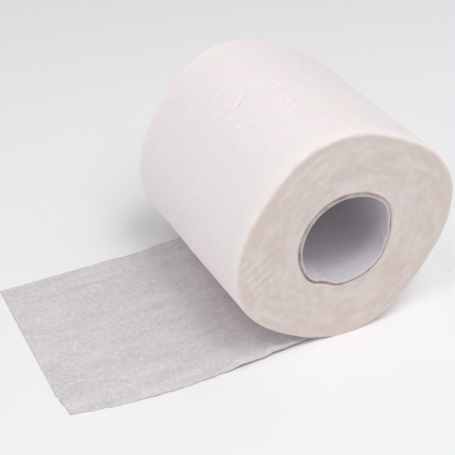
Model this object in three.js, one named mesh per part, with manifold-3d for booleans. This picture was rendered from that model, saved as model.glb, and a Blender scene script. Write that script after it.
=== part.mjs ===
/**
 * Toilet paper roll lying on its side, with the loose end of the web laid out flat.
 *
 * Two separate pieces: the tissue web (all its turns and the loose end are one continuous
 * piece of paper) and the paperboard core tube that the web is wound on.
 *
 * Units are millimetres and degrees. +Z is up and Y runs along the roll's axis. The loose
 * end lies towards -X. The origin is on the floor, straight below the roll's axis, at the
 * middle of the small flat spot that the soft roll rests on.
 */
import * as THREE from 'three';
import { mergeVertices } from 'three/addons/utils/BufferGeometryUtils.js';
import Module from 'manifold-3d';

const wasm = await Module();
wasm.setup();

// ---------------------------------------------------------------- driving dimensions

const webWidth = 98;         // width of the paper, and so the length of the roll
const fitGap = 0.3;          // clearance kept between the two pieces

// The wound body. Its section is a circle pushed out of round by storage and handling:
// each lobe term adds height * cos(count * (angle - towards)) to the radius. High on the
// left the outer turns sit looser towards the back end, which swells it out there.
const roll = {
  radius: 51.3,              // at the front end
  growth: 0.0176,            // the back end is wound this share bigger than the front end
  axisHeight: 51.0,          // the wound section reaches below the floor line
  rimRadius: 1.6,            // soft rounding where the side turns into the end faces
  points: 96,
  lobes: [
    { count: 2, height: 0.85, towards: 9 },
    { count: 3, height: 0.35, towards: 25 },
    { count: 4, height: 1.6, towards: 15 },
  ],
  swelling: { height: 1.55, towards: 118, halfWidth: 30 },
};

// The paperboard core: two plies wound in a spiral, standing slightly proud of the tissue at
// both ends. Its front end was squashed in handling: flattened on the right and at the top,
// creased low on the left, and swollen between. Each is a bell-shaped dent (or, where the
// depth is negative, a swelling) that dies away along the tube, so the back end is nearly
// round.
const core = {
  radius: 22.6,
  plyThickness: 0.65,
  offsetX: -1.0,             // the core sits slightly off the axis of the roll
  offsetZ: 0.8,
  proud: 0.6,                // how far each end stands out from the end face of the tissue
  points: 60,
  lengthSteps: 10,
  holeOverrun: 9.8,          // the hole is cut this far past both end faces
  dents: [
    { depth: 0.9, towards: 4, halfWidth: 15, reach: 70 },
    { depth: 0.4, towards: -18, halfWidth: 13, reach: 70 },
    { depth: 1.3, towards: -115, halfWidth: 12, reach: 32 },
    { depth: 0.6, towards: 82, halfWidth: 26, reach: 70 },
    { depth: -0.6, towards: -46, halfWidth: 22, reach: 70 },
    { depth: -0.4, towards: -142, halfWidth: 12, reach: 32 },
    { depth: -0.35, towards: 175, halfWidth: 45, reach: 70 },
    { depth: -0.4, towards: 36, halfWidth: 12, reach: 70 },
  ],
};

// The inner ply laps over itself along one helical seam, which makes a step inside the bore.
const seam = {
  startAngle: -14,           // where the lap's edge stands on the front end
  lapAngle: 17,              // how far round the lap reaches before it has died away
  turnPerLength: 1.9,        // degrees of helix per millimetre along the tube
  height: 0.4,
};

// The loose end: the outer turn leaves the roll a little above the floor, comes down in a
// shallow slope while it uncurls, and then lies flat up to the torn perforation.
const tail = {
  length: 126.5,
  thickness: 0.5,
  leavesAt: -16,             // where the web leaves the roll's underside
  leavesHeight: 3.0,
  landsAt: -62,
  landing: 1.3,              // power of the slope: 1 would land at a sharp bend
  profileSteps: 28,
  halfWidthFar: 48.8,
  halfWidthNear: 49.3,
  farCornerIn: 0.9,          // how far the far corner is drawn in at the torn end
  nearCornerIn: 5.2,         // the near corner is torn off at a slant
  nearTaperStart: -88,
  nearRootStart: -30,
  nearRootIn: 2.2,           // how far the near edge is drawn in below the roll
};

// ---------------------------------------------------------------- small helpers

const degrees = Math.PI / 180;

/** Difference between two angles in degrees, brought into -180..180. */
function angleBetween(a, b) {
  return ((a - b + 540) % 360) - 180;
}

/** Bell curve: 1 at zero, dying away over about two widths. */
function bell(distance, width) {
  return Math.exp(-((distance / width) ** 2));
}

/** Radius of the wound body's front end at an angle in degrees. */
function rollRadius(angle) {
  let radius = roll.radius;
  for (const lobe of roll.lobes) {
    radius += lobe.height * Math.cos(lobe.count * (angle - lobe.towards) * degrees);
  }
  return radius;
}

/** Outer radius of the core at an angle, a distance along the tube from its front end. */
function coreRadius(angle, along) {
  let radius = core.radius;
  for (const dent of core.dents) {
    const acrossDent = bell(angleBetween(angle, dent.towards), dent.halfWidth);
    radius -= dent.depth * acrossDent * bell(along, dent.reach);
  }
  return radius;
}

/** Closed outline of the wound body's section, centred on the roll's axis. */
function rollOutline() {
  const outline = [];
  for (let i = 0; i < roll.points; i += 1) {
    const angle = (360 * i) / roll.points;
    const radius = rollRadius(angle);
    const x = radius * Math.cos(angle * degrees);
    const z = radius * Math.sin(angle * degrees);
    outline.push(new THREE.Vector2(x, z));
  }
  return new THREE.Shape(outline);
}

/** Extrusion of a shape drawn in X and Z, along Y, centred on the plane Y = 0. */
function extrudeAcross(shape, length, options = {}) {
  const settings = { depth: length, bevelEnabled: false, ...options };
  const geometry = new THREE.ExtrudeGeometry(shape, settings);
  geometry.translate(0, 0, -length / 2);
  geometry.rotateX(Math.PI / 2);
  return geometry;
}

/**
 * Moves the points of a round extrusion onto the core's place and form. radiusAt gives a
 * point's new radius from its angle, its distance behind the front end of the web, and its
 * old radius.
 */
function shapeAsCore(geometry, radiusAt) {
  const position = geometry.attributes.position;
  for (let i = 0; i < position.count; i += 1) {
    const angle = Math.atan2(position.getZ(i), position.getX(i));
    const oldRadius = Math.hypot(position.getX(i), position.getZ(i));
    const along = position.getY(i) + webWidth / 2;
    const radius = radiusAt(angle / degrees, along, oldRadius);
    position.setX(i, core.offsetX + radius * Math.cos(angle));
    position.setZ(i, roll.axisHeight + core.offsetZ + radius * Math.sin(angle));
  }
}

/** Manifold solid of a closed three.js geometry. */
function solidOf(geometry) {
  const bare = geometry.clone();
  bare.deleteAttribute('normal');
  bare.deleteAttribute('uv');
  const merged = mergeVertices(bare, 1e-4);
  return new wasm.Manifold(new wasm.Mesh({
    numProp: 3,
    vertProperties: new Float32Array(merged.attributes.position.array),
    triVerts: new Uint32Array(merged.index.array),
  }));
}

/** three.js geometry of a manifold solid. */
function geometryOf(solid) {
  const mesh = solid.getMesh();
  const geometry = new THREE.BufferGeometry();
  const points = new Float32Array(mesh.vertProperties);
  geometry.setAttribute('position', new THREE.BufferAttribute(points, 3));
  geometry.setIndex(new THREE.BufferAttribute(new Uint32Array(mesh.triVerts), 1));
  geometry.computeVertexNormals();
  return geometry;
}

// ---------------------------------------------------------------- the tissue web

/** The wound turns: an out-of-round cylinder, bigger at the back, flat where it rests. */
function woundBody() {
  const rim = roll.rimRadius;
  const body = extrudeAcross(rollOutline(), webWidth - 2 * rim, {
    bevelEnabled: true,
    bevelThickness: rim,
    bevelSize: rim,
    bevelOffset: -rim,
    bevelSegments: 4,
  });
  const position = body.attributes.position;
  for (let i = 0; i < position.count; i += 1) {
    const x = position.getX(i);
    const z = position.getZ(i);
    const along = position.getY(i) / webWidth + 0.5;
    const fromSwelling = angleBetween(Math.atan2(z, x) / degrees, roll.swelling.towards);
    const swelling = roll.swelling.height * bell(fromSwelling, roll.swelling.halfWidth);
    const scale = 1 + (roll.growth + swelling / Math.hypot(x, z)) * along;
    position.setX(i, scale * x);
    position.setZ(i, scale * z);
  }
  body.translate(0, 0, roll.axisHeight);

  const belowFloor = new THREE.BoxGeometry(3 * roll.radius, 2 * webWidth, roll.radius);
  belowFloor.translate(0, 0, -roll.radius / 2);
  return solidOf(body).subtract(solidOf(belowFloor));
}

/** The hole that the core sits in: the core's outer wall grown by the clearance. */
function coreHole() {
  const disc = new THREE.Shape();
  disc.absarc(0, 0, core.radius, 0, 2 * Math.PI, false);
  const hole = extrudeAcross(disc, webWidth + 2 * core.holeOverrun, {
    curveSegments: core.points / 2,
    steps: core.lengthSteps + 2,
  });
  shapeAsCore(hole, (angle, along) => coreRadius(angle, Math.max(along, 0)) + fitGap);
  return solidOf(hole);
}

/** Height of the loose end's underside: a slope that eases onto the floor where it lands. */
function slopeHeightAt(x) {
  const share = (x - tail.landsAt) / (tail.leavesAt - tail.landsAt);
  return tail.leavesHeight * Math.min(Math.max(share, 0), 1) ** tail.landing;
}

/** The loose end: a thin strip with the slope's profile, trimmed to its outline from above. */
function looseEnd() {
  const lower = [];
  const upper = [];
  for (let i = 0; i <= tail.profileSteps; i += 1) {
    const x = (tail.landsAt * i) / tail.profileSteps;
    lower.push(new THREE.Vector2(x, slopeHeightAt(x)));
    upper.push(new THREE.Vector2(x, slopeHeightAt(x) + tail.thickness));
  }
  const pastTheTear = -tail.length - 5;
  lower.push(new THREE.Vector2(pastTheTear, 0));
  upper.push(new THREE.Vector2(pastTheTear, tail.thickness));
  const strip = extrudeAcross(new THREE.Shape([...upper, ...lower.reverse()]), 2 * webWidth);

  const plan = new THREE.Shape();
  plan.moveTo(0, tail.halfWidthFar);
  plan.lineTo(-0.7 * tail.length, tail.halfWidthFar);
  plan.lineTo(-tail.length, tail.halfWidthFar - tail.farCornerIn);
  plan.lineTo(-tail.length, -tail.halfWidthNear + tail.nearCornerIn + 6);
  plan.lineTo(-tail.length + 1.5, -tail.halfWidthNear + tail.nearCornerIn);
  plan.lineTo(tail.nearTaperStart, -tail.halfWidthNear);
  plan.lineTo(tail.nearRootStart, -tail.halfWidthNear);
  plan.lineTo(0, -tail.halfWidthNear + tail.nearRootIn);
  const trim = new THREE.ExtrudeGeometry(plan, { depth: webWidth, bevelEnabled: false });
  trim.translate(0, 0, -webWidth / 2);
  return solidOf(strip).intersect(solidOf(trim));
}

function tissueRoll() {
  const solid = woundBody().add(looseEnd()).subtract(coreHole());
  const mesh = new THREE.Mesh(
    geometryOf(solid),
    new THREE.MeshStandardMaterial({ color: 0xe9e0e0, roughness: 0.95, metalness: 0 }),
  );
  mesh.name = 'tissue_roll';
  return mesh;
}

// ---------------------------------------------------------------- the core tube

/** How much the seam's lap thickens the wall: full at the lap's edge, gone at its end. */
function lapHeight(angle, along) {
  const edge = seam.startAngle - seam.turnPerLength * along;
  const past = (((edge - angle) % 360) + 360) % 360;
  return past < seam.lapAngle ? seam.height * (1 - past / seam.lapAngle) : 0;
}

/**
 * The core: a round ring extruded in steps along the tube and moved onto its squashed form.
 * The outer wall follows the outline; the inner wall stands two plies inside it, and the lap
 * of the helical seam is added to that.
 */
function coreTube() {
  const wall = 2 * core.plyThickness;
  const ring = new THREE.Shape();
  ring.absarc(0, 0, core.radius, 0, 2 * Math.PI, false);
  const bore = new THREE.Path();
  bore.absarc(0, 0, core.radius - wall, 0, 2 * Math.PI, true);
  ring.holes.push(bore);
  const geometry = extrudeAcross(ring, webWidth + 2 * core.proud, {
    curveSegments: core.points / 2,
    steps: core.lengthSteps,
  });
  shapeAsCore(geometry, (angle, along, oldRadius) => {
    const outer = coreRadius(angle, along);
    const isInnerWall = oldRadius < core.radius - wall / 2;
    return isInnerWall ? outer - wall - lapHeight(angle, along) : outer;
  });

  const mesh = new THREE.Mesh(
    geometryOf(solidOf(geometry)),
    new THREE.MeshStandardMaterial({ color: 0xa99a94, roughness: 0.9, metalness: 0 }),
  );
  mesh.name = 'core_tube';
  return mesh;
}

// ---------------------------------------------------------------- the object

const toiletPaperRoll = new THREE.Group();
toiletPaperRoll.add(tissueRoll());
toiletPaperRoll.add(coreTube());

export default toiletPaperRoll;
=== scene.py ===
"""Toilet paper roll on its side, with the loose end of its web laid out flat on a pale floor.

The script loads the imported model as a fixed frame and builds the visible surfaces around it:
the wound turns of tissue, the loose end and the paperboard core tube. Every size is in metres,
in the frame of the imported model: +Z up, Y along the roll's axis, the loose end towards -X.
"""
import logging
import math
from dataclasses import dataclass, field
from enum import Enum, IntEnum
from typing import Any, Optional, Sequence

import bpy
import numpy as np
from mathutils import Matrix, Vector


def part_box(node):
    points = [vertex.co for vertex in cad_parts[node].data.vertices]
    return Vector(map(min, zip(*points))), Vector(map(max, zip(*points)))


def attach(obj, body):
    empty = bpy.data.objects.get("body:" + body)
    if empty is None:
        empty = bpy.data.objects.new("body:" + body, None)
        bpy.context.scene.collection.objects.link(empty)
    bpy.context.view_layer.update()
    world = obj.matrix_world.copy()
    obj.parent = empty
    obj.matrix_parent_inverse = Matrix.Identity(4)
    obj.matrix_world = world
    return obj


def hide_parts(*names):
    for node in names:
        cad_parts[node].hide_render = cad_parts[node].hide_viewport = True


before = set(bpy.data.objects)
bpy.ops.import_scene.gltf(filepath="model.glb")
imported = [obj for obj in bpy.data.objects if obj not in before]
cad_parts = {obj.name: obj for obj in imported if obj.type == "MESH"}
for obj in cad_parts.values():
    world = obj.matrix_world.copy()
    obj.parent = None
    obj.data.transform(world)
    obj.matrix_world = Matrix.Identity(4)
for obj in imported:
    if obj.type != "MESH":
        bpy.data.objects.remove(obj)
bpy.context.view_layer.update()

log = logging.getLogger("toilet_paper_roll")

MM = 0.001
FULL_TURN = 2.0 * math.pi
QUARTER_TURN = 0.5 * math.pi
# Row of a noise lattice that is read where the noise depends on the angle only.
MIDDLE_ROW = 0.5
ROOT_BODY = "root"


class Slot(Enum):
    """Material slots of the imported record."""

    TISSUE = "tissue"
    CORE_BOARD = "core_board"


# ---------------------------------------------------------------- arrays and noise


def smooth_step(values: np.ndarray, low: float, high: float) -> np.ndarray:
    """Cubic ease from 0 at low to 1 at high: 3t^2 - 2t^3 of the clamped fraction t.

    Args:
        values: Any array.
        low: Value that gives 0.
        high: Value that gives 1.

    Returns:
        Array of the same shape.
    """
    fraction = np.clip((values - low) / (high - low), 0.0, 1.0)
    return fraction * fraction * (3.0 - 2.0 * fraction)


def bell(distance: np.ndarray, width: float) -> np.ndarray:
    """Bell curve exp(-(distance / width)^2): 1 at zero, gone after about two widths."""
    return np.exp(-np.square(distance / width))


def angle_between(first: np.ndarray, second: float) -> np.ndarray:
    """Difference of two angles in radians, brought into half a turn either way."""
    return (first - second + math.pi) % FULL_TURN - math.pi


@dataclass(frozen=True)
class LatticeNoise:
    """Smooth random surface over two parameters.

    Random heights from -1 to 1 stand on a lattice of whole-number points, and each cell is
    filled by easing between its four corners. The first parameter wraps after columns cells,
    so a surface that goes round a ring closes on itself.
    """

    columns: int
    rows: int
    seed: int

    def at(self, across: np.ndarray, along: np.ndarray) -> np.ndarray:
        """Height at fractions across and along, where 1 is the full lattice.

        Args:
            across: Wrapping parameter, 0 to 1 for one turn.
            along: Other parameter, 0 to 1, clamped at its ends.

        Returns:
            Heights from -1 to 1, in the shape of the arguments.
        """
        heights = np.random.default_rng(self.seed).uniform(-1.0, 1.0, (self.columns, self.rows + 2))
        column = across * self.columns
        row = np.clip(along, 0.0, 1.0) * self.rows
        left = np.floor(column).astype(int)
        below = np.floor(row).astype(int)
        ease_column = smooth_step(column - left, 0.0, 1.0)
        ease_row = smooth_step(row - below, 0.0, 1.0)
        left = left % self.columns
        right = (left + 1) % self.columns
        lower = heights[left, below] * (1.0 - ease_column) + heights[right, below] * ease_column
        upper = heights[left, below + 1] * (1.0 - ease_column) + heights[right, below + 1] * ease_column
        return lower * (1.0 - ease_row) + upper * ease_row


@dataclass(frozen=True)
class LayeredNoise:
    """Sum of lattice noises, each twice as fine and half as high as the one before.

    The coarsest layer has the given cells and seed. The layers after it use the seeds after it.
    """

    columns: int
    rows: int
    octaves: int
    seed: int

    def at(self, across: np.ndarray, along: np.ndarray) -> np.ndarray:
        """Height at fractions across and along.

        Args:
            across: Wrapping parameter, 0 to 1 for one turn.
            along: Other parameter, 0 to 1.

        Returns:
            Heights of about -1 to 1.
        """
        total = np.zeros(np.broadcast(across, along).shape)
        for octave in range(self.octaves):
            fineness = 2**octave
            noise = LatticeNoise(self.columns * fineness, self.rows * fineness, self.seed + octave)
            total = total + noise.at(across, along) / fineness
        return total / (2.0 - 2.0 ** (1 - self.octaves))


# ---------------------------------------------------------------- meshes


def vertex_numbers(points: np.ndarray) -> np.ndarray:
    """Numbers of a grid of vertices, in the grid's own shape."""
    return np.arange(points.shape[0] * points.shape[1]).reshape(points.shape[:2])



def quads_between(index: np.ndarray, wrap_first: bool, wrap_second: bool) -> np.ndarray:
    """Four-cornered faces between neighbours of a grid of vertex numbers.

    Args:
        index: Grid of vertex numbers.
        wrap_first: Whether the last row joins the first.
        wrap_second: Whether the last column joins the first.

    Returns:
        Array of faces, four vertex numbers each.
    """
    if wrap_first:
        index = np.vstack([index, index[:1]])
    if wrap_second:
        index = np.hstack([index, index[:, :1]])
    corners = (index[:-1, :-1], index[1:, :-1], index[1:, 1:], index[:-1, 1:])
    return np.stack([corner.ravel() for corner in corners], axis=1)


def facing_out(points: np.ndarray, faces: np.ndarray) -> np.ndarray:
    """Turns the faces of a closed surface outwards.

    The signed volume is a sixth of the sum, over both triangles of each face, of the scalar
    triple product of the corners. Where it comes out negative, every face is reversed.

    Args:
        points: Vertex positions, one row each.
        faces: Four vertex numbers for each face.

    Returns:
        The faces, all reversed or all as they were.
    """
    corner = [points[faces[:, k]] for k in range(4)]
    triple = np.einsum("ij,ij->i", corner[0], np.cross(corner[1], corner[2]))
    triple = triple + np.einsum("ij,ij->i", corner[0], np.cross(corner[2], corner[3]))
    return faces if triple.sum() > 0.0 else faces[:, ::-1]


def make_piece(
    name: str,
    points: np.ndarray,
    faces: np.ndarray,
    materials: Sequence[bpy.types.Material],
    material_of_face: Optional[np.ndarray] = None,
    attributes: Optional[dict[str, np.ndarray]] = None,
) -> bpy.types.Object:
    """Makes a smooth mesh object at the origin from a closed surface.

    Args:
        name: Name of the piece.
        points: Vertex positions, one row each, in metres.
        faces: Four vertex numbers for each face.
        materials: Materials of the piece, in slot order.
        material_of_face: Slot number of each face; all 0 if left out.
        attributes: Named values for each vertex, one number or three numbers each.

    Returns:
        The new object, linked to the scene.
    """
    faces = facing_out(points, faces)
    mesh = bpy.data.meshes.new(name)
    mesh.vertices.add(len(points))
    mesh.vertices.foreach_set("co", points.astype(np.float32).ravel())
    mesh.loops.add(faces.size)
    mesh.loops.foreach_set("vertex_index", faces.astype(np.int32).ravel())
    mesh.polygons.add(len(faces))
    mesh.polygons.foreach_set("loop_start", np.arange(0, faces.size, 4, dtype=np.int32))
    mesh.polygons.foreach_set("use_smooth", np.ones(len(faces), dtype=bool))
    if material_of_face is not None:
        mesh.polygons.foreach_set("material_index", material_of_face.astype(np.int32))
    for material in materials:
        mesh.materials.append(material)
    for key, values in (attributes or {}).items():
        kind = "FLOAT" if values.ndim == 1 else "FLOAT_VECTOR"
        attribute = mesh.attributes.new(key, kind, "POINT")
        value_name = "value" if kind == "FLOAT" else "vector"
        attribute.data.foreach_set(value_name, values.astype(np.float32).ravel())
    mesh.update(calc_edges=True)
    mesh.validate()
    piece = bpy.data.objects.new(name, mesh)
    bpy.context.scene.collection.objects.link(piece)
    return piece


def hand_over(piece: bpy.types.Object, node: str) -> None:
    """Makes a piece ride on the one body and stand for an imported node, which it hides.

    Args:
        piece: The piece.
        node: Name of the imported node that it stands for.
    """
    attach(piece, ROOT_BODY)
    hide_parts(node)


# ---------------------------------------------------------------- material nodes


class MixSocket(IntEnum):
    """Places of a Mix node's inputs, which has one pair for numbers and one for colours."""

    SHARE = 0
    FIRST_NUMBER = 2
    SECOND_NUMBER = 3
    FIRST_COLOUR = 6
    SECOND_COLOUR = 7


class MixResult(IntEnum):
    """Places of a Mix node's outputs."""

    NUMBER = 0
    COLOUR = 2


def linear_colour(srgb_hex: str) -> tuple[float, float, float, float]:
    """Turns an sRGB colour into a linear one.

    Args:
        srgb_hex: Red, green and blue as six hex digits, such as "f2ebea".

    Returns:
        Linear red, green, blue and an alpha of 1.
    """
    channels = [int(srgb_hex[i:i + 2], 16) / 255.0 for i in (0, 2, 4)]
    linear = [c / 12.92 if c <= 0.04045 else ((c + 0.055) / 1.055) ** 2.4 for c in channels]
    return (linear[0], linear[1], linear[2], 1.0)


def add_node(
    tree: bpy.types.NodeTree,
    kind: str,
    settings: Optional[dict[Any, Any]] = None,
    links: Optional[dict[Any, bpy.types.NodeSocket]] = None,
) -> bpy.types.Node:
    """Adds one shader node.

    Args:
        tree: Node tree to add to.
        kind: Node type, such as "ShaderNodeBump".
        settings: Node properties by name, and input values by the input's name or number.
        links: Source sockets by the name or number of the input that they feed.

    Returns:
        The new node.
    """
    node = tree.nodes.new(kind)
    for key, value in (settings or {}).items():
        if isinstance(key, str) and key not in node.inputs:
            setattr(node, key, value)
        else:
            node.inputs[key].default_value = value
    for key, source in (links or {}).items():
        tree.links.new(source, node.inputs[key])
    return node


def new_material(
    name: str, settings: dict[str, Any]
) -> tuple[bpy.types.Material, bpy.types.NodeTree, bpy.types.Node]:
    """Makes a material that has only a Principled shader and its output.

    Args:
        name: Name of the material.
        settings: Values of the shader's own inputs, by name.

    Returns:
        The material, its node tree and its shader.
    """
    material = bpy.data.materials.new(name)
    material.use_nodes = True
    tree = material.node_tree
    tree.nodes.clear()
    shader = add_node(tree, "ShaderNodeBsdfPrincipled", settings)
    add_node(tree, "ShaderNodeOutputMaterial", links={"Surface": shader.outputs["BSDF"]})
    return material, tree, shader


def weighted_sum(
    tree: bpy.types.NodeTree, terms: Sequence[tuple[bpy.types.NodeSocket, float]]
) -> bpy.types.NodeSocket:
    """Adds several values up, each multiplied by its weight.

    Args:
        tree: Node tree to add to.
        terms: Source sockets and their weights.

    Returns:
        Socket that gives the sum.
    """
    total: Optional[bpy.types.NodeSocket] = None
    for source, weight in terms:
        operation = "MULTIPLY" if total is None else "MULTIPLY_ADD"
        links = {0: source} if total is None else {0: source, 2: total}
        total = add_node(tree, "ShaderNodeMath", {"operation": operation, 1: weight}, links).outputs[0]
    return total


def share_of(
    tree: bpy.types.NodeTree, terms: Sequence[tuple[bpy.types.NodeSocket, float]], span: tuple[float, float]
) -> bpy.types.NodeSocket:
    """Turns a weighted sum of patterns into a share by a smooth step.

    Args:
        tree: Node tree to add to.
        terms: Source sockets and their weights.
        span: Sums that give 0 and 1.

    Returns:
        Socket that gives the share, from 0 to 1.
    """
    settings = {"interpolation_type": "SMOOTHSTEP", "From Min": span[0], "From Max": span[1]}
    return add_node(tree, "ShaderNodeMapRange", settings, {"Value": weighted_sum(tree, terms)}).outputs[0]


def laid_over(
    tree: bpy.types.NodeTree, ground: str, layers: Sequence[tuple[bpy.types.NodeSocket, str]]
) -> bpy.types.NodeSocket:
    """Lays colours over a ground colour, one after another.

    Args:
        tree: Node tree to add to.
        ground: Colour of the ground, as sRGB hex.
        layers: For each layer, the socket that gives its share, and its colour as sRGB hex.

    Returns:
        Socket that gives the colour.
    """
    colour: Optional[bpy.types.NodeSocket] = None
    for share, layer in layers:
        settings = {"data_type": "RGBA", MixSocket.SECOND_COLOUR: linear_colour(layer)}
        links = {MixSocket.SHARE: share}
        if colour is None:
            settings[MixSocket.FIRST_COLOUR] = linear_colour(ground)
        else:
            links[MixSocket.FIRST_COLOUR] = colour
        colour = add_node(tree, "ShaderNodeMix", settings, links).outputs[MixResult.COLOUR]
    return colour


def feed_surface(
    tree: bpy.types.NodeTree,
    shader: bpy.types.Node,
    colour: bpy.types.NodeSocket,
    height: bpy.types.NodeSocket,
) -> None:
    """Feeds a colour, and a relief through a bump, into a shader.

    Args:
        tree: Node tree of the shader.
        shader: Principled shader.
        colour: Socket that gives the colour.
        height: Socket that gives the relief's height, in metres.
    """
    bump = add_node(tree, "ShaderNodeBump", {"Distance": 1.0, "Strength": 1.0}, {"Height": height})
    tree.links.new(colour, shader.inputs["Base Color"])
    tree.links.new(bump.outputs[0], shader.inputs["Normal"])


@dataclass(frozen=True)
class Blobs:
    """Cloudy pattern whose blobs have about the given sizes, in metres, along three coordinates.

    A noise texture of scale 1 has one blob to each unit, so each coordinate is divided by the
    size wanted along it. Each whole number of detail adds a layer twice as fine.
    """

    sizes: tuple[float, float, float]
    detail: float
    roughness: float = 0.55

    def add_to(self, tree: bpy.types.NodeTree, place: bpy.types.NodeSocket) -> bpy.types.NodeSocket:
        """Adds the pattern's nodes.

        Args:
            tree: Node tree to add to.
            place: Socket that gives the coordinates.

        Returns:
            Socket that gives the pattern, from 0 to 1.
        """
        scale = tuple(1.0 / size for size in self.sizes)
        mapping = add_node(tree, "ShaderNodeMapping", {"Scale": scale}, {"Vector": place})
        settings = {"Scale": 1.0, "Detail": self.detail, "Roughness": self.roughness}
        noise = add_node(tree, "ShaderNodeTexNoise", settings, {"Vector": mapping.outputs[0]})
        return noise.outputs["Fac"]


# ---------------------------------------------------------------- finishes


@dataclass(frozen=True)
class CrepedTissue:
    """Creped two-ply bathroom tissue, wound into a roll.

    The side shows the sheet's own face: near white with a pink cast, matt, with a faint mottle
    of fibres and small puckers. The ends show thousands of cut edges pressed together, which
    trap light and so read warmer and darker, with a mottle that follows the turns.

    A fibre is 0.02 mm wide and a turn 0.2 mm thick, which are too fine to show. The fibres are
    drawn as blobs of a millimetre, and the turns as bundles a few millimetres thick.
    """

    side_light: str = "f4eded"
    side_shade: str = "f0e7e7"
    # Painted highlight: a paler band on the side next to the rim, where the rounded rim catches light.
    side_rim_highlight: str = "f4edec"
    # Painted highlight: colour laid on the nubs, paler where their tops catch light.
    nub: str = "fbf7f7"
    end_light: str = "ece1dd"
    end_shade: str = "e2d4cf"
    # Painted shade: a darker, browner band on the end face just inside the rim, where the turns dip.
    end_rim_shade: str = "e6d7cf"
    roughness: float = 0.95
    ior: float = 1.45
    specular: float = 0.2
    fibres: Blobs = Blobs((1.5 * MM, 1.5 * MM, 1.0 * MM), detail=4.0)
    puckers: Blobs = Blobs((3.0 * MM, 3.0 * MM, 3.0 * MM), detail=1.0)
    mottle: Blobs = Blobs((5.0 * MM, 5.0 * MM, 3.4 * MM), detail=4.0)
    patches: Blobs = Blobs((16.0 * MM, 16.0 * MM, 9.0 * MM), detail=1.0)
    folds: Blobs = Blobs((6.0 * MM, 6.0 * MM, 2.5 * MM), detail=3.0)
    fibre_height: float = 0.23 * MM
    mottle_height: float = 0.14 * MM
    fold_reach: float = 6.0 * MM
    patch_reach: float = 14.0 * MM
    mottle_weight: float = 0.55
    patch_weight: float = 0.45
    fibre_span: tuple[float, float] = (0.3, 0.7)
    blotch_span: tuple[float, float] = (0.35, 0.65)
    # Depths into the end face, from its rim, at which one look gives way to the next.
    meeting_span: tuple[float, float] = (1.5 * MM, 6.0 * MM)
    rim_highlight_span: tuple[float, float] = (-5.0 * MM, 0.5 * MM)
    rim_shade_span: tuple[float, float] = (17.0 * MM, 11.0 * MM)

    def build(self) -> bpy.types.Material:
        """Makes the material, which reads the piece's "web", "into_face" and "nub" attributes.

        The side's look and the end face's meet along an uneven line on the rim, where the
        outer turns fold over. Beside it the side carries a paler band, a painted highlight where
        the rounded rim catches light, and the face a darker, browner band, painted shade where
        the turns dip just inside the rim.

        Returns:
            The new material.
        """
        settings = {"Roughness": self.roughness, "IOR": self.ior, "Specular IOR Level": self.specular}
        material, tree, shader = new_material("creped_tissue_wound", settings)
        web, depth, nub = (
            add_node(tree, "ShaderNodeAttribute", {"attribute_name": name}).outputs[output]
            for name, output in (("web", "Vector"), ("into_face", "Fac"), ("nub", "Fac")))
        fibres, puckers, mottle, patches, folds = (
            blobs.add_to(tree, web)
            for blobs in (self.fibres, self.puckers, self.mottle, self.patches, self.folds))

        uneven_depth = [(depth, 1.0), (folds, self.fold_reach)]
        meeting = share_of(tree, uneven_depth, self.meeting_span)
        # Painted highlight: the side is made paler next to the rim, where the rounded rim catches light.
        rim_highlight = share_of(tree, uneven_depth, self.rim_highlight_span)
        # Painted shade: the end face is made darker and browner in a patchy band just inside the rim.
        rim_shade = share_of(tree, [*uneven_depth, (patches, self.patch_reach)], self.rim_shade_span)
        fibre = share_of(tree, [(fibres, 1.0)], self.fibre_span)
        blotches = [(mottle, self.mottle_weight), (patches, self.patch_weight)]
        blotch = share_of(tree, blotches, self.blotch_span)

        # The nubs' colour is a painted highlight, laid over the side by the nub attribute.
        side_layers = [(fibre, self.side_light), (rim_highlight, self.side_rim_highlight), (nub, self.nub)]
        side = laid_over(tree, self.side_shade, side_layers)
        end = laid_over(tree, self.end_shade, [(blotch, self.end_light), (rim_shade, self.end_rim_shade)])
        colour = add_node(tree, "ShaderNodeMix", {"data_type": "RGBA"}, {
            MixSocket.SHARE: meeting, MixSocket.FIRST_COLOUR: side, MixSocket.SECOND_COLOUR: end,
        }).outputs[MixResult.COLOUR]

        side_height = weighted_sum(tree, [(fibres, self.fibre_height), (puckers, self.fibre_height)])
        end_height = weighted_sum(tree, [(mottle, self.mottle_height)])
        height = add_node(tree, "ShaderNodeMix", {"data_type": "FLOAT"}, {
            MixSocket.SHARE: meeting,
            MixSocket.FIRST_NUMBER: side_height,
            MixSocket.SECOND_NUMBER: end_height,
        }).outputs[MixResult.NUMBER]
        feed_surface(tree, shader, colour, height)
        return material


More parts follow.
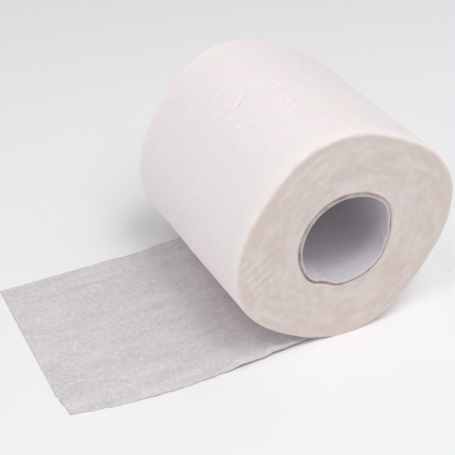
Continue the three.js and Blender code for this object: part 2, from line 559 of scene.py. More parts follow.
@dataclass(frozen=True)
class SingleWeb:
    """One thickness of the same creped tissue, lying alone on the floor.

    A single web lets part of the light through, so it reads greyer than the wound turns. Its
    cloudy formation of fibres, slightly drawn out along the web, shows more than its surface.
    The fibres are too fine to show, so the grain stands for clumps of them.
    """

    thin: str = "cbc6ca"
    dense: str = "e4dfe2"
    roughness: float = 0.95
    specular: float = 0.2
    bank: Blobs = Blobs((26.0 * MM, 6.0 * MM, 6.0 * MM), detail=1.0)
    cloud: Blobs = Blobs((2.4 * MM, 2.0 * MM, 2.0 * MM), detail=3.0)
    grain: Blobs = Blobs((0.9 * MM, 0.75 * MM, 0.75 * MM), detail=2.0)
    bank_weight: float = 0.25
    cloud_weight: float = 0.3
    grain_weight: float = 0.45
    dense_span: tuple[float, float] = (0.33, 0.67)
    grain_height: float = 0.10 * MM

    def build(self) -> bpy.types.Material:
        """Makes the material, which reads Object coordinates: X lies along the web.

        Returns:
            The new material.
        """
        settings = {"Roughness": self.roughness, "Specular IOR Level": self.specular}
        material, tree, shader = new_material("creped_tissue_single", settings)
        place = add_node(tree, "ShaderNodeTexCoord").outputs["Object"]
        bank, cloud, grain = (blobs.add_to(tree, place) for blobs in (self.bank, self.cloud, self.grain))
        terms = [(bank, self.bank_weight), (cloud, self.cloud_weight), (grain, self.grain_weight)]
        colour = laid_over(tree, self.thin, [(share_of(tree, terms, self.dense_span), self.dense)])
        feed_surface(tree, shader, colour, weighted_sum(tree, [(grain, self.grain_height)]))
        return material


@dataclass(frozen=True)
class CoreBoard:
    """Recycled chipboard ply of a spiral-wound core: grey-brown, matt, with short dark fibres."""

    light: str = "cabcb6"
    dark: str = "88746e"
    roughness: float = 0.9
    flecks: Blobs = Blobs((0.9 * MM, 0.9 * MM, 0.9 * MM), detail=3.0)
    patches: Blobs = Blobs((7.0 * MM, 7.0 * MM, 7.0 * MM), detail=1.0)
    fleck_weight: float = 0.4
    patch_weight: float = 0.6
    light_span: tuple[float, float] = (0.32, 0.62)
    fleck_height: float = 0.06 * MM

    def build(self) -> bpy.types.Material:
        """Makes the material, which reads Object coordinates.

        Returns:
            The new material.
        """
        material, tree, shader = new_material("core_chipboard", {"Roughness": self.roughness})
        place = add_node(tree, "ShaderNodeTexCoord").outputs["Object"]
        flecks = self.flecks.add_to(tree, place)
        terms = [(flecks, self.fleck_weight), (self.patches.add_to(tree, place), self.patch_weight)]
        colour = laid_over(tree, self.dark, [(share_of(tree, terms, self.light_span), self.light)])
        feed_surface(tree, shader, colour, weighted_sum(tree, [(flecks, self.fleck_height)]))
        return material


@dataclass(frozen=True)
class CoreLining:
    """Bleached inner ply of the core: cool white, calendered, so it keeps a very slight sheen."""

    light: str = "ded9de"
    dark: str = "cdc8cd"
    roughness: float = 0.7
    clouds: Blobs = Blobs((1.8 * MM, 1.8 * MM, 1.8 * MM), detail=4.0)
    cloud_height: float = 0.05 * MM

    def build(self) -> bpy.types.Material:
        """Makes the material, which reads Object coordinates.

        Returns:
            The new material.
        """
        material, tree, shader = new_material("core_white_lining", {"Roughness": self.roughness})
        place = add_node(tree, "ShaderNodeTexCoord").outputs["Object"]
        clouds = self.clouds.add_to(tree, place)
        colour = laid_over(tree, self.dark, [(clouds, self.light)])
        feed_surface(tree, shader, colour, weighted_sum(tree, [(clouds, self.cloud_height)]))
        return material


# ---------------------------------------------------------------- the roll's form


@dataclass(frozen=True)
class Lobe:
    """One out-of-round term: adds height * cos(count * (angle - towards)) to a radius."""

    count: int
    height: float
    towards: float


@dataclass(frozen=True)
class Dent:
    """A bell-shaped dent in a round outline (a swelling where the depth is negative).

    It dies away behind the front end over about its reach.
    """

    depth: float
    towards: float
    half_width: float
    reach: float


@dataclass
class RollForm:
    """The roll's section and the core's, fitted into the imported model's boxes.

    Angles are in radians about the roll's axis, from +X towards +Z. The section's radius is
    the front radius plus its lobes, grown slightly from front to back, with one bell-shaped
    swelling high on the left that rises evenly from nothing at the front to the back end.
    """

    radius: float = 51.3 * MM
    growth: float = 0.0176
    lobes: tuple[Lobe, ...] = (
        Lobe(2, 0.85 * MM, math.radians(9.0)),
        Lobe(3, 0.35 * MM, math.radians(25.0)),
        Lobe(4, 1.6 * MM, math.radians(15.0)),
    )
    swell_height: float = 1.55 * MM
    swell_towards: float = math.radians(118.0)
    swell_half_width: float = math.radians(30.0)
    core_radius: float = 22.6 * MM
    core_dents: tuple[Dent, ...] = (
        Dent(0.9 * MM, math.radians(4.0), math.radians(15.0), 70.0 * MM),
        Dent(0.4 * MM, math.radians(-18.0), math.radians(13.0), 70.0 * MM),
        Dent(1.3 * MM, math.radians(-115.0), math.radians(12.0), 32.0 * MM),
        Dent(0.6 * MM, math.radians(82.0), math.radians(26.0), 70.0 * MM),
        Dent(-0.6 * MM, math.radians(-46.0), math.radians(22.0), 70.0 * MM),
        Dent(-0.4 * MM, math.radians(-142.0), math.radians(12.0), 32.0 * MM),
        Dent(-0.35 * MM, math.radians(175.0), math.radians(45.0), 70.0 * MM),
        Dent(-0.4 * MM, math.radians(36.0), math.radians(12.0), 70.0 * MM),
    )
    core_offset_x: float = -1.0 * MM
    core_offset_z: float = 0.8 * MM
    outline_samples: int = 720
    half_width: float = field(init=False)
    core_half_length: float = field(init=False)
    axis_height: float = field(init=False)
    tail_end: float = field(init=False)

    def __post_init__(self) -> None:
        """Reads the half lengths, the axis height and the loose end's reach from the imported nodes."""
        low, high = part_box("tissue_roll")
        self.half_width = high[1]
        self.tail_end = low[0]
        self.core_half_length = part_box("core_tube")[1][1]
        angle = np.linspace(0.0, FULL_TURN, self.outline_samples)
        top_of_back = (self.outer(angle, 1.0) * np.sin(angle)).max()
        self.axis_height = high[2] - float(top_of_back)

    def outer(self, angle: np.ndarray, along: np.ndarray | float) -> np.ndarray:
        """Radius of the wound turns.

        Args:
            angle: Angle about the axis.
            along: Fraction of the width behind the front end, 0 to 1.

        Returns:
            Distance from the roll's axis.
        """
        total = np.full(np.shape(angle), self.radius)
        for lobe in self.lobes:
            total = total + lobe.height * np.cos(lobe.count * (angle - lobe.towards))
        swelling = self.swell_height * bell(angle_between(angle, self.swell_towards), self.swell_half_width)
        return total * (1.0 + self.growth * along) + swelling * along

    def core(self, angle: np.ndarray, behind_front: np.ndarray) -> np.ndarray:
        """Outer radius of the core: a circle less its dents, which fade along the tube.

        Args:
            angle: Angle about the core's axis.
            behind_front: Distance behind the front end.

        Returns:
            Distance from the core's axis.
        """
        total = np.full(np.broadcast(angle, behind_front).shape, self.core_radius)
        for dent in self.core_dents:
            shape = bell(angle_between(angle, dent.towards), dent.half_width)
            total = total - dent.depth * shape * bell(behind_front, dent.reach)
        return total


# ---------------------------------------------------------------- the wound turns


@dataclass(frozen=True)
class Nub:
    """A small round bump left on the outer turn where the two plies are pressed together."""

    angle: float
    behind_front: float


@dataclass
class WoundTurns:
    """All the turns of tissue on the core, as one closed surface with soft rims.

    The fields after the step counts are the side's relief, then the end faces'.
    """

    form: RollForm
    rim: float = 1.7 * MM
    gap_to_core: float = 0.08 * MM
    around: int = 480
    face_steps: int = 46
    rim_steps: int = 8
    side_steps: int = 124
    back_steps: int = 12
    bore_steps: int = 4

    sag: float = 0.22 * MM
    sag_noise: LayeredNoise = LayeredNoise(13, 4, octaves=2, seed=11)
    pucker: float = 0.11 * MM
    pucker_noise: LayeredNoise = LayeredNoise(64, 20, octaves=2, seed=21)
    pucker_patches: LayeredNoise = LayeredNoise(11, 4, octaves=1, seed=31)
    pucker_span: tuple[float, float] = (-0.3, 0.6)
    rim_sag: float = 0.45 * MM
    rim_sag_reach: float = 7.0 * MM
    rim_sag_noise: LayeredNoise = LayeredNoise(19, 2, octaves=2, seed=101)
    # Distances round the side are counted from this angle.
    arc_zero: float = math.radians(95.0)
    wrinkle_height: float = 0.14 * MM
    wrinkle_pitch: float = 3.4 * MM
    wrinkle_warp: float = 1.2 * MM
    wrinkle_noise: LayeredNoise = LayeredNoise(40, 8, octaves=2, seed=36)
    # Round the side, then behind the front end.
    wrinkle_middle: tuple[float, float] = (-4.0 * MM, 24.0 * MM)
    wrinkle_extent: tuple[float, float] = (14.0 * MM, 12.0 * MM)
    crease_depth: float = 0.6 * MM
    crease_half_width: float = 1.0 * MM
    crease_path: tuple[tuple[float, float], ...] = (
        # millimetres round the side, millimetres behind the front end
        (17.0, 54.8), (21.0, 52.2), (24.0, 50.9), (28.0, 53.7), (32.5, 56.8), (36.5, 55.8),
    )
    crease_begins: tuple[float, float] = (15.0 * MM, 19.0 * MM)
    crease_ends: tuple[float, float] = (33.0 * MM, 38.0 * MM)
    nub_height: float = 0.4 * MM
    nub_half_width: float = 0.75 * MM
    nubs: tuple[Nub, ...] = (
        Nub(math.radians(108.4), 57.3 * MM),
        Nub(math.radians(100.2), 52.9 * MM),
        Nub(math.radians(98.9), 49.8 * MM),
        Nub(math.radians(130.7), 62.4 * MM),
        Nub(math.radians(127.0), 48.6 * MM),
        Nub(math.radians(126.9), 40.6 * MM),
        Nub(math.radians(120.2), 36.1 * MM),
        Nub(math.radians(106.9), 28.4 * MM),
        Nub(math.radians(64.0), 41.0 * MM),
        Nub(math.radians(15.0), 60.0 * MM),
        Nub(math.radians(-30.0), 33.0 * MM),
        Nub(math.radians(105.5), 55.6 * MM),
        Nub(math.radians(92.5), 42.5 * MM),
        Nub(math.radians(102.0), 36.5 * MM),
    )

    # The end faces' patterns start at this radius and span this depth of turns.
    face_inside: float = 20.0 * MM
    face_depth: float = 34.0 * MM
    # Share of the face, out from the core hole, over which its relief rises.
    face_rise: float = 0.03
    ridge: float = 0.14 * MM
    ridge_noise: LayeredNoise = LayeredNoise(14, 16, octaves=2, seed=41)
    blotch: float = 0.15 * MM
    blotch_noise: LayeredNoise = LayeredNoise(44, 7, octaves=3, seed=51)
    lip: float = 0.45 * MM
    lip_radius: float = 23.0 * MM
    lip_half_width: float = 2.6 * MM
    squeeze_height: float = 0.16 * MM
    squeeze_pitch: float = 4.2 * MM
    squeeze_warp: float = 1.5 * MM
    squeeze_noise: LayeredNoise = LayeredNoise(24, 5, octaves=2, seed=61)
    squeeze_across: tuple[float, float] = (-0.6, 0.8)
    squeeze_middle: tuple[float, float] = (-43.0 * MM, -7.0 * MM)
    squeeze_extent: float = 11.0 * MM
    squeeze_flatness: float = 0.8

    def profile(self) -> tuple[np.ndarray, ...]:
        """Closed path that the section is carried along, as arrays with one value a station.

        The path runs outwards over the front face, round the front rim, back along the side,
        round the back rim, inwards over the back face and forwards through the bore.

        Returns:
            The blend from core radius (0) to outer radius (1), the inset from it, the distance
            along the axis, and the outward direction's radial and axial parts.
        """
        half = self.form.half_width
        turn = np.linspace(0.0, math.pi / 2.0, self.rim_steps)
        face = np.linspace(0.0, 1.0, self.face_steps, endpoint=False)
        side = np.linspace(-1.0, 1.0, self.side_steps + 2)[1:-1]
        back = np.linspace(1.0, 0.0, self.back_steps + 1)[1:]
        bore = np.linspace(1.0, -1.0, self.bore_steps + 2)[1:-1]
        rim = self.rim
        rising, falling = np.sin(turn), np.cos(turn)
        parts = (
            # blend, inset, distance along the axis, radial part, axial part
            (face, rim * face, 0.0 * face - half, 0.0, -1.0),
            (1.0, rim * (1.0 - rising), -half + rim * (1.0 - falling), rising, -falling),
            (1.0, 0.0, side * (half - rim), 1.0, 0.0),
            (1.0, rim * (1.0 - falling), half - rim * (1.0 - rising), falling, rising),
            (back, rim * back, 0.0 * back + half, 0.0, 1.0),
            (0.0, 0.0, bore * half, 0.0, 0.0),
        )
        columns = [np.stack(np.broadcast_arrays(*part)) for part in parts]
        return tuple(np.concatenate(columns, axis=1))

    def side_relief(self, angle: np.ndarray, turned: np.ndarray, along: np.ndarray) -> np.ndarray:
        """How far the side stands out from its smooth form.

        Broad soft waves and smaller puckers lie all over it. Fine wavy wrinkles run round the
        roll in one patch, a longer bent crease lies beside them, and a few nubs stand up.

        Args:
            angle: Angle about the axis.
            turned: Fraction of a turn, 0 to 1.
            along: Fraction of the width behind the front end, 0 to 1.

        Returns:
            Relief in metres, outwards.
        """
        behind = along * 2.0 * self.form.half_width
        arc = angle_between(angle, self.arc_zero) * self.form.radius
        total = self.sag * self.sag_noise.at(turned, along)
        patches = smooth_step(self.pucker_patches.at(turned, along), *self.pucker_span)
        total = total + self.pucker * self.pucker_noise.at(turned, along) * patches

        warp = self.wrinkle_warp * self.wrinkle_noise.at(turned, along)
        wrinkles = np.sin(FULL_TURN * (behind + warp) / self.wrinkle_pitch)
        round_patch = bell(arc - self.wrinkle_middle[0], self.wrinkle_extent[0])
        back_patch = bell(behind - self.wrinkle_middle[1], self.wrinkle_extent[1])
        total = total + self.wrinkle_height * wrinkles * (round_patch * back_patch)

        path_arc, path_behind = np.array(self.crease_path).T * MM
        from_crease = behind - np.interp(arc, path_arc, path_behind)
        crease_run = smooth_step(arc, *self.crease_begins) * (1.0 - smooth_step(arc, *self.crease_ends))
        total = total - self.crease_depth * bell(from_crease, self.crease_half_width) * crease_run

        rim_waves = self.rim_sag_noise.at(turned, MIDDLE_ROW + 0.0 * along) * bell(behind, self.rim_sag_reach)
        return total + self.rim_sag * rim_waves + self.nub_height * self.nub_share(angle, along)

    def nub_share(self, angle: np.ndarray, along: np.ndarray) -> np.ndarray:
        """How far each point belongs to a nub.

        Args:
            angle: Angle about the axis.
            along: Fraction of the width behind the front end, 0 to 1.

        Returns:
            1 at a nub's middle, 0 away from all of them.
        """
        behind = along * 2.0 * self.form.half_width
        total = np.zeros(angle.shape)
        for nub in self.nubs:
            across = angle_between(angle, nub.angle) * self.form.radius
            total = total + bell(np.hypot(across, behind - nub.behind_front), self.nub_half_width)
        return total

    def end_relief(self, angle: np.ndarray, turned: np.ndarray, radius: np.ndarray) -> np.ndarray:
        """How far an end face stands out from flat.

        Long low ridges follow the turns where they sit unevenly in the log, and blotches lie
        over them. Round the core a lip of tissue is drawn out. Low on the left, short wrinkles
        cross the turns where the roll was squeezed.

        Args:
            angle: Angle about the axis.
            turned: Fraction of a turn, 0 to 1.
            radius: Distance from the axis.

        Returns:
            Relief in metres, outwards.
        """
        depth = (radius - self.face_inside) / self.face_depth
        total = self.ridge * self.ridge_noise.at(turned, depth)
        total = total + self.blotch * self.blotch_noise.at(turned, depth)
        total = total + self.lip * bell(radius - self.lip_radius, self.lip_half_width)

        x = radius * np.cos(angle)
        z = radius * np.sin(angle)
        warp = self.squeeze_warp * self.squeeze_noise.at(turned, depth)
        travel = self.squeeze_across[0] * x + self.squeeze_across[1] * z + warp
        wrinkles = np.sin(FULL_TURN * travel / self.squeeze_pitch)
        from_middle = (x - self.squeeze_middle[0], (z - self.squeeze_middle[1]) * self.squeeze_flatness)
        squeezed = bell(np.hypot(*from_middle), self.squeeze_extent)
        return total + self.squeeze_height * wrinkles * squeezed

    def build(self, finish: bpy.types.Material) -> bpy.types.Object:
        """Builds the closed surface.

        Each point lies at radius core + blend * (outer - core) - inset from the axis, moved
        along the outward direction by the relief. Points below the floor are raised to it,
        which makes the flat spot.

        Args:
            finish: Material of the tissue.

        Returns:
            The piece.
        """
        form = self.form
        blend, inset, axial, radial_part, axial_part = (v[None, :] for v in self.profile())
        turned = np.linspace(0.0, 1.0, self.around, endpoint=False)[:, None]
        turned, axial = np.broadcast_arrays(turned, axial)
        angle = turned * FULL_TURN - QUARTER_TURN
        along = (axial + form.half_width) / (2.0 * form.half_width)
        core_offset = form.core_offset_x * np.cos(angle) + form.core_offset_z * np.sin(angle)
        hole = form.core(angle, axial + form.half_width) + core_offset + self.gap_to_core
        outer = form.outer(angle, along)
        radius = hole + blend * (outer - hole) - inset
        into_face = outer - radius - (form.half_width - np.abs(axial))

        end = self.end_relief(angle, turned, radius) * smooth_step(blend, 0.0, self.face_rise)
        y = axial + end * axial_part
        radius = radius + self.side_relief(angle, turned, along) * radial_part
        x = radius * np.cos(angle)
        z = np.maximum(form.axis_height + radius * np.sin(angle), 0.0)
        points = np.stack([x, y, z], axis=2)

        # The finish's third coordinate is the distance along the path, so that its pattern
        # runs on from the face over the rim to the side.
        steps = np.linalg.norm(np.diff(points[:1], axis=1), axis=2)[0]
        path = np.concatenate([[0.0], np.cumsum(steps)])
        web = np.stack([x, z, np.broadcast_to(path, x.shape)], axis=2)
        attributes = {
            "web": web.reshape(-1, 3),
            "into_face": into_face.ravel(),
            "nub": self.nub_share(angle, along).ravel(),
        }
        faces = quads_between(vertex_numbers(points), wrap_first=True, wrap_second=True)
        piece = make_piece("wound_turns", points.reshape(-1, 3), faces, [finish], attributes=attributes)
        hand_over(piece, "tissue_roll")
        return piece


# ---------------------------------------------------------------- the loose end


@dataclass(frozen=True)
class EdgePucker:
    """A short wave of the near edge that lifts it off the floor and dies away inwards."""

    x: float
    height: float
    half_length: float
    inward: float


@dataclass
class LooseEnd:
    """The last stretch of the web: it leaves the roll's underside and lies on the floor.

    The two edges' points and waves and the torn edge's sizes are in millimetres.
    """

    form: RollForm
    thickness: float = 0.22 * MM
    start: float = -3.0 * MM
    along_steps: int = 270
    across_steps: int = 150
    crowding: float = 0.55
    leaves_at: float = -16.5 * MM
    lands_at: float = -62.0 * MM
    leaves_far: float = 4.0 * MM
    leaves_near: float = 2.3 * MM
    landing: float = 1.3
    clearance: float = 0.02 * MM
    wave_height: float = 0.22 * MM
    wave_noise: LayeredNoise = LayeredNoise(9, 6, octaves=2, seed=71)
    wave_extent: tuple[float, float] = (0.16, 0.1)
    wave_lift: float = 0.5
    wave_begins: tuple[float, float] = (12.0 * MM, 40.0 * MM)
    pucker_at_edge: float = 0.4
    pucker_fall: float = 4.5
    puckers: tuple[EdgePucker, ...] = (
        EdgePucker(-48.5 * MM, 2.3 * MM, 4.6 * MM, 2.2 * MM),
        EdgePucker(-31.0 * MM, 0.9 * MM, 3.0 * MM, 1.8 * MM),
        EdgePucker(-23.0 * MM, 0.6 * MM, 2.4 * MM, 1.6 * MM),
        EdgePucker(-88.0 * MM, 0.35 * MM, 5.0 * MM, 2.2 * MM),
    )
    near_points: tuple[tuple[float, float], ...] = (
        # along the web, across it
        (-128.0, -43.6), (-122.0, -45.0), (-110.0, -47.1), (-98.0, -48.7), (-86.0, -49.7),
        (-70.0, -49.7), (-50.0, -49.1), (-32.0, -48.1), (-20.0, -47.5), (0.0, -46.0),
    )
    far_points: tuple[tuple[float, float], ...] = (
        (-128.0, 47.8), (-100.0, 48.6), (-60.0, 48.9), (0.0, 48.9),
    )
    far_swells: tuple[tuple[float, float, float], ...] = (
        # along the web, height, half length
        (-75.5, 0.55, 3.5), (-44.5, 0.7, 5.0),
    )
    waver_heights: tuple[float, float, float] = (0.22, 0.16, 0.08)
    waver_lengths: tuple[float, float, float, float] = (2.9, 7.3, 1.37, 0.61)
    waver_phase: float = 1.0
    far_waver: float = 0.6
    tab_length: float = 0.4
    tab_pitch: float = 2.1
    tab_beat: float = 1.7
    tab_stray: float = 0.4
    notch_depth: float = 1.1
    notch_at: float = -37.6
    notch_half_width: float = 0.9
    slant_depth: float = 1.5
    slant_span: tuple[float, float] = (37.0, 46.0)

    def edge_lines(self, x: np.ndarray) -> tuple[np.ndarray, np.ndarray]:
        """The near and far long edges as seen from above: a few points, joined, with a waver.

        The waver is a sum of three waves: a slow one that swells and fades with a slower one,
        a quick one and a quicker one. Their lengths don't match, so it never repeats.

        Args:
            x: Distance along the web.

        Returns:
            Y of the near edge and Y of the far edge.
        """
        mm = x / MM
        near = np.interp(mm, *np.array(self.near_points).T)
        far = np.interp(mm, *np.array(self.far_points).T)
        slow, slower, quick, quicker = (mm / length for length in self.waver_lengths)
        waves = (np.sin(slow) * np.sin(slower), np.sin(quick + self.waver_phase), np.sin(quicker))
        waver = sum(height * wave for height, wave in zip(self.waver_heights, waves))
        swells = sum(height * bell(mm - place, half) for place, height, half in self.far_swells)
        return (near + waver) * MM, (far + swells + self.far_waver * waver) * MM

    def torn_edge(self, across: np.ndarray) -> np.ndarray:
        """How far the torn perforation stands in from the straight cut.

        Small tabs repeat at the perforation's pitch, each torn off at its own length; near the
        front corner the tear strayed from the line and left a notch and a slant.

        Args:
            across: Distance across the web.

        Returns:
            Distance in from the cut.
        """
        mm = across / MM
        uneven = 0.5 + 0.5 * np.sin(mm * self.tab_beat + self.tab_stray * np.sin(mm))
        tabs = self.tab_length * np.abs(np.sin(math.pi * mm / self.tab_pitch)) * uneven
        notch = self.notch_depth * bell(mm - self.notch_at, self.notch_half_width)
        slant = self.slant_depth * smooth_step(-mm, *self.slant_span)
        return (tabs + (notch + slant)) * MM

    def height(self, x: np.ndarray, y: np.ndarray, near_edge: np.ndarray) -> np.ndarray:
        """Height of the underside above the floor.

        The web leaves the roll a little above the floor, higher at the far edge, and comes
        down in a slope that eases onto the floor; puckers stand beside the near edge; and
        slight waves run over the whole sheet.

        Args:
            x: Distance along the web.
            y: Distance across the web.
            near_edge: Y of the near edge.

        Returns:
            Height of each point.
        """
        along = np.clip((x - self.lands_at) / (self.leaves_at - self.lands_at), 0.0, 1.0)
        share = (y + self.form.half_width) / (2.0 * self.form.half_width)
        slope = along**self.landing * (self.leaves_near + (self.leaves_far - self.leaves_near) * share)
        length, width = self.wave_extent
        waves = self.wave_noise.at(-x / length, (y + width / 2.0) / width) + self.wave_lift
        total = slope + self.wave_height * smooth_step(-x, *self.wave_begins) * waves
        inward = y - near_edge
        for pucker in self.puckers:
            rise = smooth_step(inward, 0.0, pucker.inward)
            rise = self.pucker_at_edge + (1.0 - self.pucker_at_edge) * rise
            fall = 1.0 - smooth_step(inward, pucker.inward, self.pucker_fall * pucker.inward)
            total = total + pucker.height * bell(x - pucker.x, pucker.half_length) * rise * fall
        return np.maximum(total, self.clearance)

    def build(self, finish: bpy.types.Material) -> bpy.types.Object:
        """Builds the sheet as a closed thin solid: a top grid, the same grid below, and a rim.

        The cross steps crowd towards the near edge, where the puckers are.

        Args:
            finish: Material of the tissue.

        Returns:
            The piece.
        """
        along = np.linspace(0.0, 1.0, self.along_steps)[:, None]
        across = np.linspace(0.0, 1.0, self.across_steps)[None, :]
        across = (1.0 - self.crowding) * across + self.crowding * across * across
        rough_y = (across * 2.0 - 1.0) * self.form.half_width
        end = self.form.tail_end + self.torn_edge(rough_y)
        x = self.start + along * (end - self.start)
        near, far = self.edge_lines(x)
        y = near + across * (far - near)
        low = self.height(x, y, near)
        below = np.stack([x, y, low], axis=2)
        above = np.stack([x, y, low + self.thickness], axis=2)
        points = np.concatenate([above.reshape(-1, 3), below.reshape(-1, 3)])

        top = vertex_numbers(above)
        border_top = np.concatenate([top[0, :-1], top[:-1, -1], top[-1, :0:-1], top[:0:-1, 0]])
        border = np.stack([border_top, border_top + top.size], axis=1)
        faces = np.concatenate([
            quads_between(top, wrap_first=False, wrap_second=False),
            quads_between(top + top.size, wrap_first=False, wrap_second=False)[:, ::-1],
            quads_between(border, wrap_first=True, wrap_second=False)[:, ::-1],
        ])
        piece = make_piece("loose_end", points, faces, [finish])
        hand_over(piece, "tissue_roll")
        return piece


# ---------------------------------------------------------------- the core tube


@dataclass(frozen=True)
class Step:
    """A sharp step in the core's outline, facing one way and dying away on the other.

    Its edge turns by the twist, in radians a metre, on its way into the tube.
    """

    edge: float
    lap: float
    height: float
    reach: float
    twist: float


@dataclass
class CoreTube:
    """Spiral-wound paperboard core: a grey-brown outer ply and a white inner ply."""

    form: RollForm
    board: float = 0.78 * MM
    lining: float = 0.52 * MM
    around: int = 900
    length_steps: int = 80
    front_steps: int = 21
    back_steps: int = 4
    wander_noise: LayeredNoise = LayeredNoise(70, 2, octaves=2, seed=81)
    patch_noise: LayeredNoise = LayeredNoise(9, 2, octaves=2, seed=86)
    board_patchy: float = 0.22
    board_wander: float = 0.16
    lining_wander: float = 0.15
    fuzz: float = 0.13 * MM
    fuzz_reach: float = 0.4 * MM
    fuzz_noise: LayeredNoise = LayeredNoise(60, 2, octaves=3, seed=91)
    step_width: float = math.radians(1.2)
    steps: tuple[Step, ...] = (
        Step(math.radians(-13.5), math.radians(22.0), 0.85 * MM, 3.0 * MM, 0.0),
        Step(math.radians(-126.0), math.radians(-22.0), 0.85 * MM, 7.0 * MM, math.radians(3.3) / MM),
    )

    def outline(self, angle: np.ndarray, behind_front: np.ndarray) -> np.ndarray:
        """Outer radius with the two crushed steps cut into the squashed outline.

        Each step drops the radius at its edge within a degree and gives it back evenly over
        the lap, on the side that the lap's sign points away from.

        Args:
            angle: Angle about the core's axis.
            behind_front: Distance behind the front end.

        Returns:
            Distance from the core's axis.
        """
        radius = self.form.core(angle, behind_front)
        for step in self.steps:
            past = angle_between(step.edge + step.twist * behind_front - angle, 0.0) * np.sign(step.lap)
            drop = smooth_step(past, 0.0, self.step_width) * np.clip(1.0 - past / abs(step.lap), 0.0, 1.0)
            radius = radius - step.height * drop * bell(behind_front, step.reach)
        return radius

    def build(self, board: bpy.types.Material, lining: bpy.types.Material) -> bpy.types.Object:
        """Builds the tube: the closed wall section carried round the squashed outline.

        The section runs from the outside over the front edge into the bore, back along it,
        over the back edge and forwards along the outside. At each station the radius is the
        outline less its share of each ply. The saw left the cut edges fuzzy, so the line
        between the plies wanders a little and the edge stands unevenly proud.

        Between the two mouths nothing changes quickly, so every second step is left out.

        Args:
            board: Material of the outer ply.
            lining: Material of the inner ply.

        Returns:
            The piece.
        """
        form = self.form
        reach = form.core_half_length
        step = np.arange(self.length_steps)
        at_mouth = (step < self.front_steps) | (step >= self.length_steps - self.back_steps)
        run = np.linspace(-reach, reach, self.length_steps)[at_mouth | (step % 2 == 1)]
        bore, outside = np.ones(run.size), np.zeros(run.size - 1)
        board_share = np.concatenate([[0.0, 0.5, 1.0], bore, [1.0, 0.5], outside])
        lining_share = np.concatenate([[0.0, 0.0, 0.0], bore, [0.0, 0.0], outside])
        is_lining = np.concatenate([[False, False, True], bore > 0.0, [False, False], outside > 0.0])
        axial = np.concatenate([np.full(3, -reach), run, np.full(2, reach), run[:0:-1]])[None, :]
        turned = np.linspace(0.0, 1.0, self.around, endpoint=False)[:, None]
        turned, axial = np.broadcast_arrays(turned, axial)
        angle = turned * FULL_TURN
        middle = np.full(turned.shape, MIDDLE_ROW)

        wander = self.wander_noise.at(turned, middle)
        patches = self.patch_noise.at(turned, middle)
        board_ply = self.board * (1.0 + self.board_patchy * patches + self.board_wander * wander)
        lining_ply = self.lining * (1.0 - self.lining_wander * wander)
        radius = self.outline(angle, axial + form.half_width)
        radius = radius - board_share * board_ply - lining_share * lining_ply
        at_edge = bell(reach - np.abs(axial), self.fuzz_reach) * np.sign(axial)
        y = axial + at_edge * self.fuzz * self.fuzz_noise.at(turned, middle)
        x = form.core_offset_x + radius * np.cos(angle)
        z = form.axis_height + form.core_offset_z + radius * np.sin(angle)
        points = np.stack([x, y, z], axis=2)
        faces = quads_between(vertex_numbers(points), wrap_first=True, wrap_second=True)
        slot_of_face = np.tile(is_lining.astype(int), self.around)
        piece = make_piece("core_tube_wound", points.reshape(-1, 3), faces, [board, lining], slot_of_face)
        hand_over(piece, "core_tube")
        return piece


# ---------------------------------------------------------------- the studio


@dataclass(frozen=True)
class SoftBox:
    """A square area light."""

    name: str
    place: tuple[float, float, float]
    aim: tuple[float, float, float]
    side: float
    brightness: float

    def build(self) -> bpy.types.Object:
        """Adds the light. Its power gives a facing white surface at the aim the brightness.

        Returns:
            The light.
        """
        data = bpy.data.lights.new(self.name, "AREA")
        data.shape = "SQUARE"
        data.size = self.side
        reach = Vector(self.aim) - Vector(self.place)
        data.energy = self.brightness * (math.pi * reach.length) ** 2
        light = bpy.data.objects.new(self.name, data)
        light.location = self.place
        light.rotation_mode = "QUATERNION"
        light.rotation_quaternion = reach.to_track_quat("-Z", "Y")
        bpy.context.scene.collection.objects.link(light)
        return light


@dataclass(frozen=True)
class StudioFloor:
    """Pale seamless paper backdrop, matt and almost white."""

    colour: str = "f6f6f7"
    half_size: float = 3.0

    def build(self) -> bpy.types.Object:
        """Adds the floor plane at Z = 0.

        Returns:
            The floor.
        """
        settings = {"Base Color": linear_colour(self.colour), "Roughness": 1.0, "Specular IOR Level": 0.0}
        material = new_material("backdrop_paper", settings)[0]
        s = self.half_size
        mesh = bpy.data.meshes.new("floor")
        mesh.from_pydata([(-s, -s, 0.0), (s, -s, 0.0), (s, s, 0.0), (-s, s, 0.0)], [], [(0, 1, 2, 3)])
        mesh.materials.append(material)
        floor = bpy.data.objects.new("floor", mesh)
        bpy.context.scene.collection.objects.link(floor)
        return floor


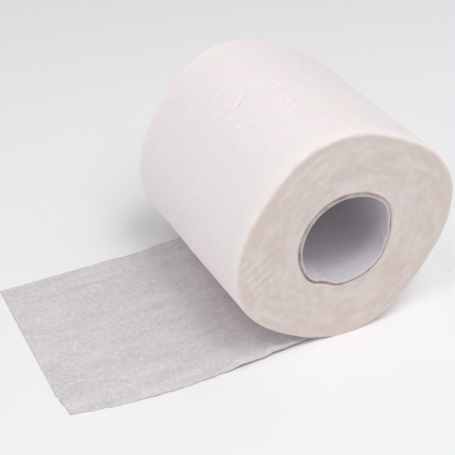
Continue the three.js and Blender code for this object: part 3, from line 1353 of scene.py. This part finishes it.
@dataclass(frozen=True)
class Viewpoint:
    """The camera: where it looks, from which side and height, and how long its lens is."""

    target: tuple[float, float, float] = (-26.8 * MM, 9.9 * MM, 30.0 * MM)
    azimuth: float = math.radians(-27.05)
    elevation: float = math.radians(33.75)
    roll: float = math.radians(-0.66)
    distance: float = 490.0 * MM
    lens: float = 84.1
    sensor: float = 36.0
    nearest: float = 0.01
    farthest: float = 20.0

    def build(self) -> bpy.types.Object:
        """Adds the camera and makes it the scene's.

        The camera's back points from the target to the camera: (sin a cos e, -cos a cos e,
        sin e) for azimuth a and elevation e. Its right and up are turned by the roll.

        Returns:
            The camera.
        """
        cos_e = math.cos(self.elevation)
        back = Vector((
            math.sin(self.azimuth) * cos_e, -math.cos(self.azimuth) * cos_e, math.sin(self.elevation)))
        level = Vector((0.0, 0.0, 1.0)).cross(back).normalized()
        upright = back.cross(level)
        right = level * math.cos(self.roll) - upright * math.sin(self.roll)
        up = back.cross(right)
        data = bpy.data.cameras.new("camera")
        data.sensor_width = self.sensor
        data.lens = self.lens
        data.clip_start = self.nearest
        data.clip_end = self.farthest
        camera = bpy.data.objects.new("camera", data)
        turn = Matrix((right, up, back)).transposed()
        camera.matrix_world = Matrix.Translation(Vector(self.target) + back * self.distance) @ turn.to_4x4()
        bpy.context.scene.collection.objects.link(camera)
        bpy.context.scene.camera = camera
        return camera


@dataclass(frozen=True)
class Studio:
    """Pale floor and a ring of soft boxes: small ones overhead, broad ones round the sides."""

    surroundings: float = 0.15
    aim: tuple[float, float, float] = (-0.02, 0.0, 0.04)
    reach: float = 1.3
    boxes: tuple[tuple[str, float, float, float, float], ...] = (
        # name, degrees round from the front, degrees up, side in metres, brightness
        ("top_front_box", 0.0, 70.0, 0.32, 0.150),
        ("top_right_box", 40.0, 70.0, 0.32, 0.055),
        ("top_left_box", -60.0, 60.0, 0.32, 0.138),
        ("front_box", 0.0, 55.0, 0.7, 0.258),
        ("right_box", 60.0, 55.0, 0.7, 0.129),
        ("back_right_box", 120.0, 55.0, 0.7, 0.089),
        ("low_left_box", -90.0, 15.0, 0.9, 0.284),
        ("low_back_left_box", -135.0, 15.0, 0.9, 0.075),
        ("low_back_box", 180.0, 15.0, 0.9, 0.110),
        ("low_right_box", 90.0, 15.0, 0.9, 0.101),
        ("low_front_right_box", 45.0, 15.0, 0.9, 0.047),
    )

    def build(self) -> None:
        """Adds the floor, the world's light, the soft boxes and the camera."""
        world = bpy.data.worlds.new("surroundings")
        world.use_nodes = True
        background = world.node_tree.nodes["Background"]
        background.inputs["Color"].default_value = (1.0, 1.0, 1.0, 1.0)
        background.inputs["Strength"].default_value = self.surroundings
        scene = bpy.context.scene
        scene.world = world
        scene.view_settings.view_transform = "Standard"
        StudioFloor().build()
        for name, round_from_front, up, side, brightness in self.boxes:
            turn = math.radians(round_from_front)
            rise = math.radians(up)
            away = Vector((math.sin(turn) * math.cos(rise), -math.cos(turn) * math.cos(rise), math.sin(rise)))
            place = Vector(self.aim) + away * self.reach
            SoftBox(name, tuple(place), self.aim, side, brightness).build()
        Viewpoint().build()


# ---------------------------------------------------------------- main


def main() -> None:
    """Builds the studio and the roll's pieces in order, and reports each piece."""
    logging.basicConfig(level=logging.INFO, format="%(name)s: %(message)s")
    Studio().build()
    form = RollForm()
    pieces = (
        WoundTurns(form).build(CrepedTissue().build()),
        LooseEnd(form).build(SingleWeb().build()),
        CoreTube(form).build(CoreBoard().build(), CoreLining().build()),
    )
    for piece in pieces:
        log.info("%s: %d faces", piece.name, len(piece.data.polygons))


if __name__ == "__main__":
    main()
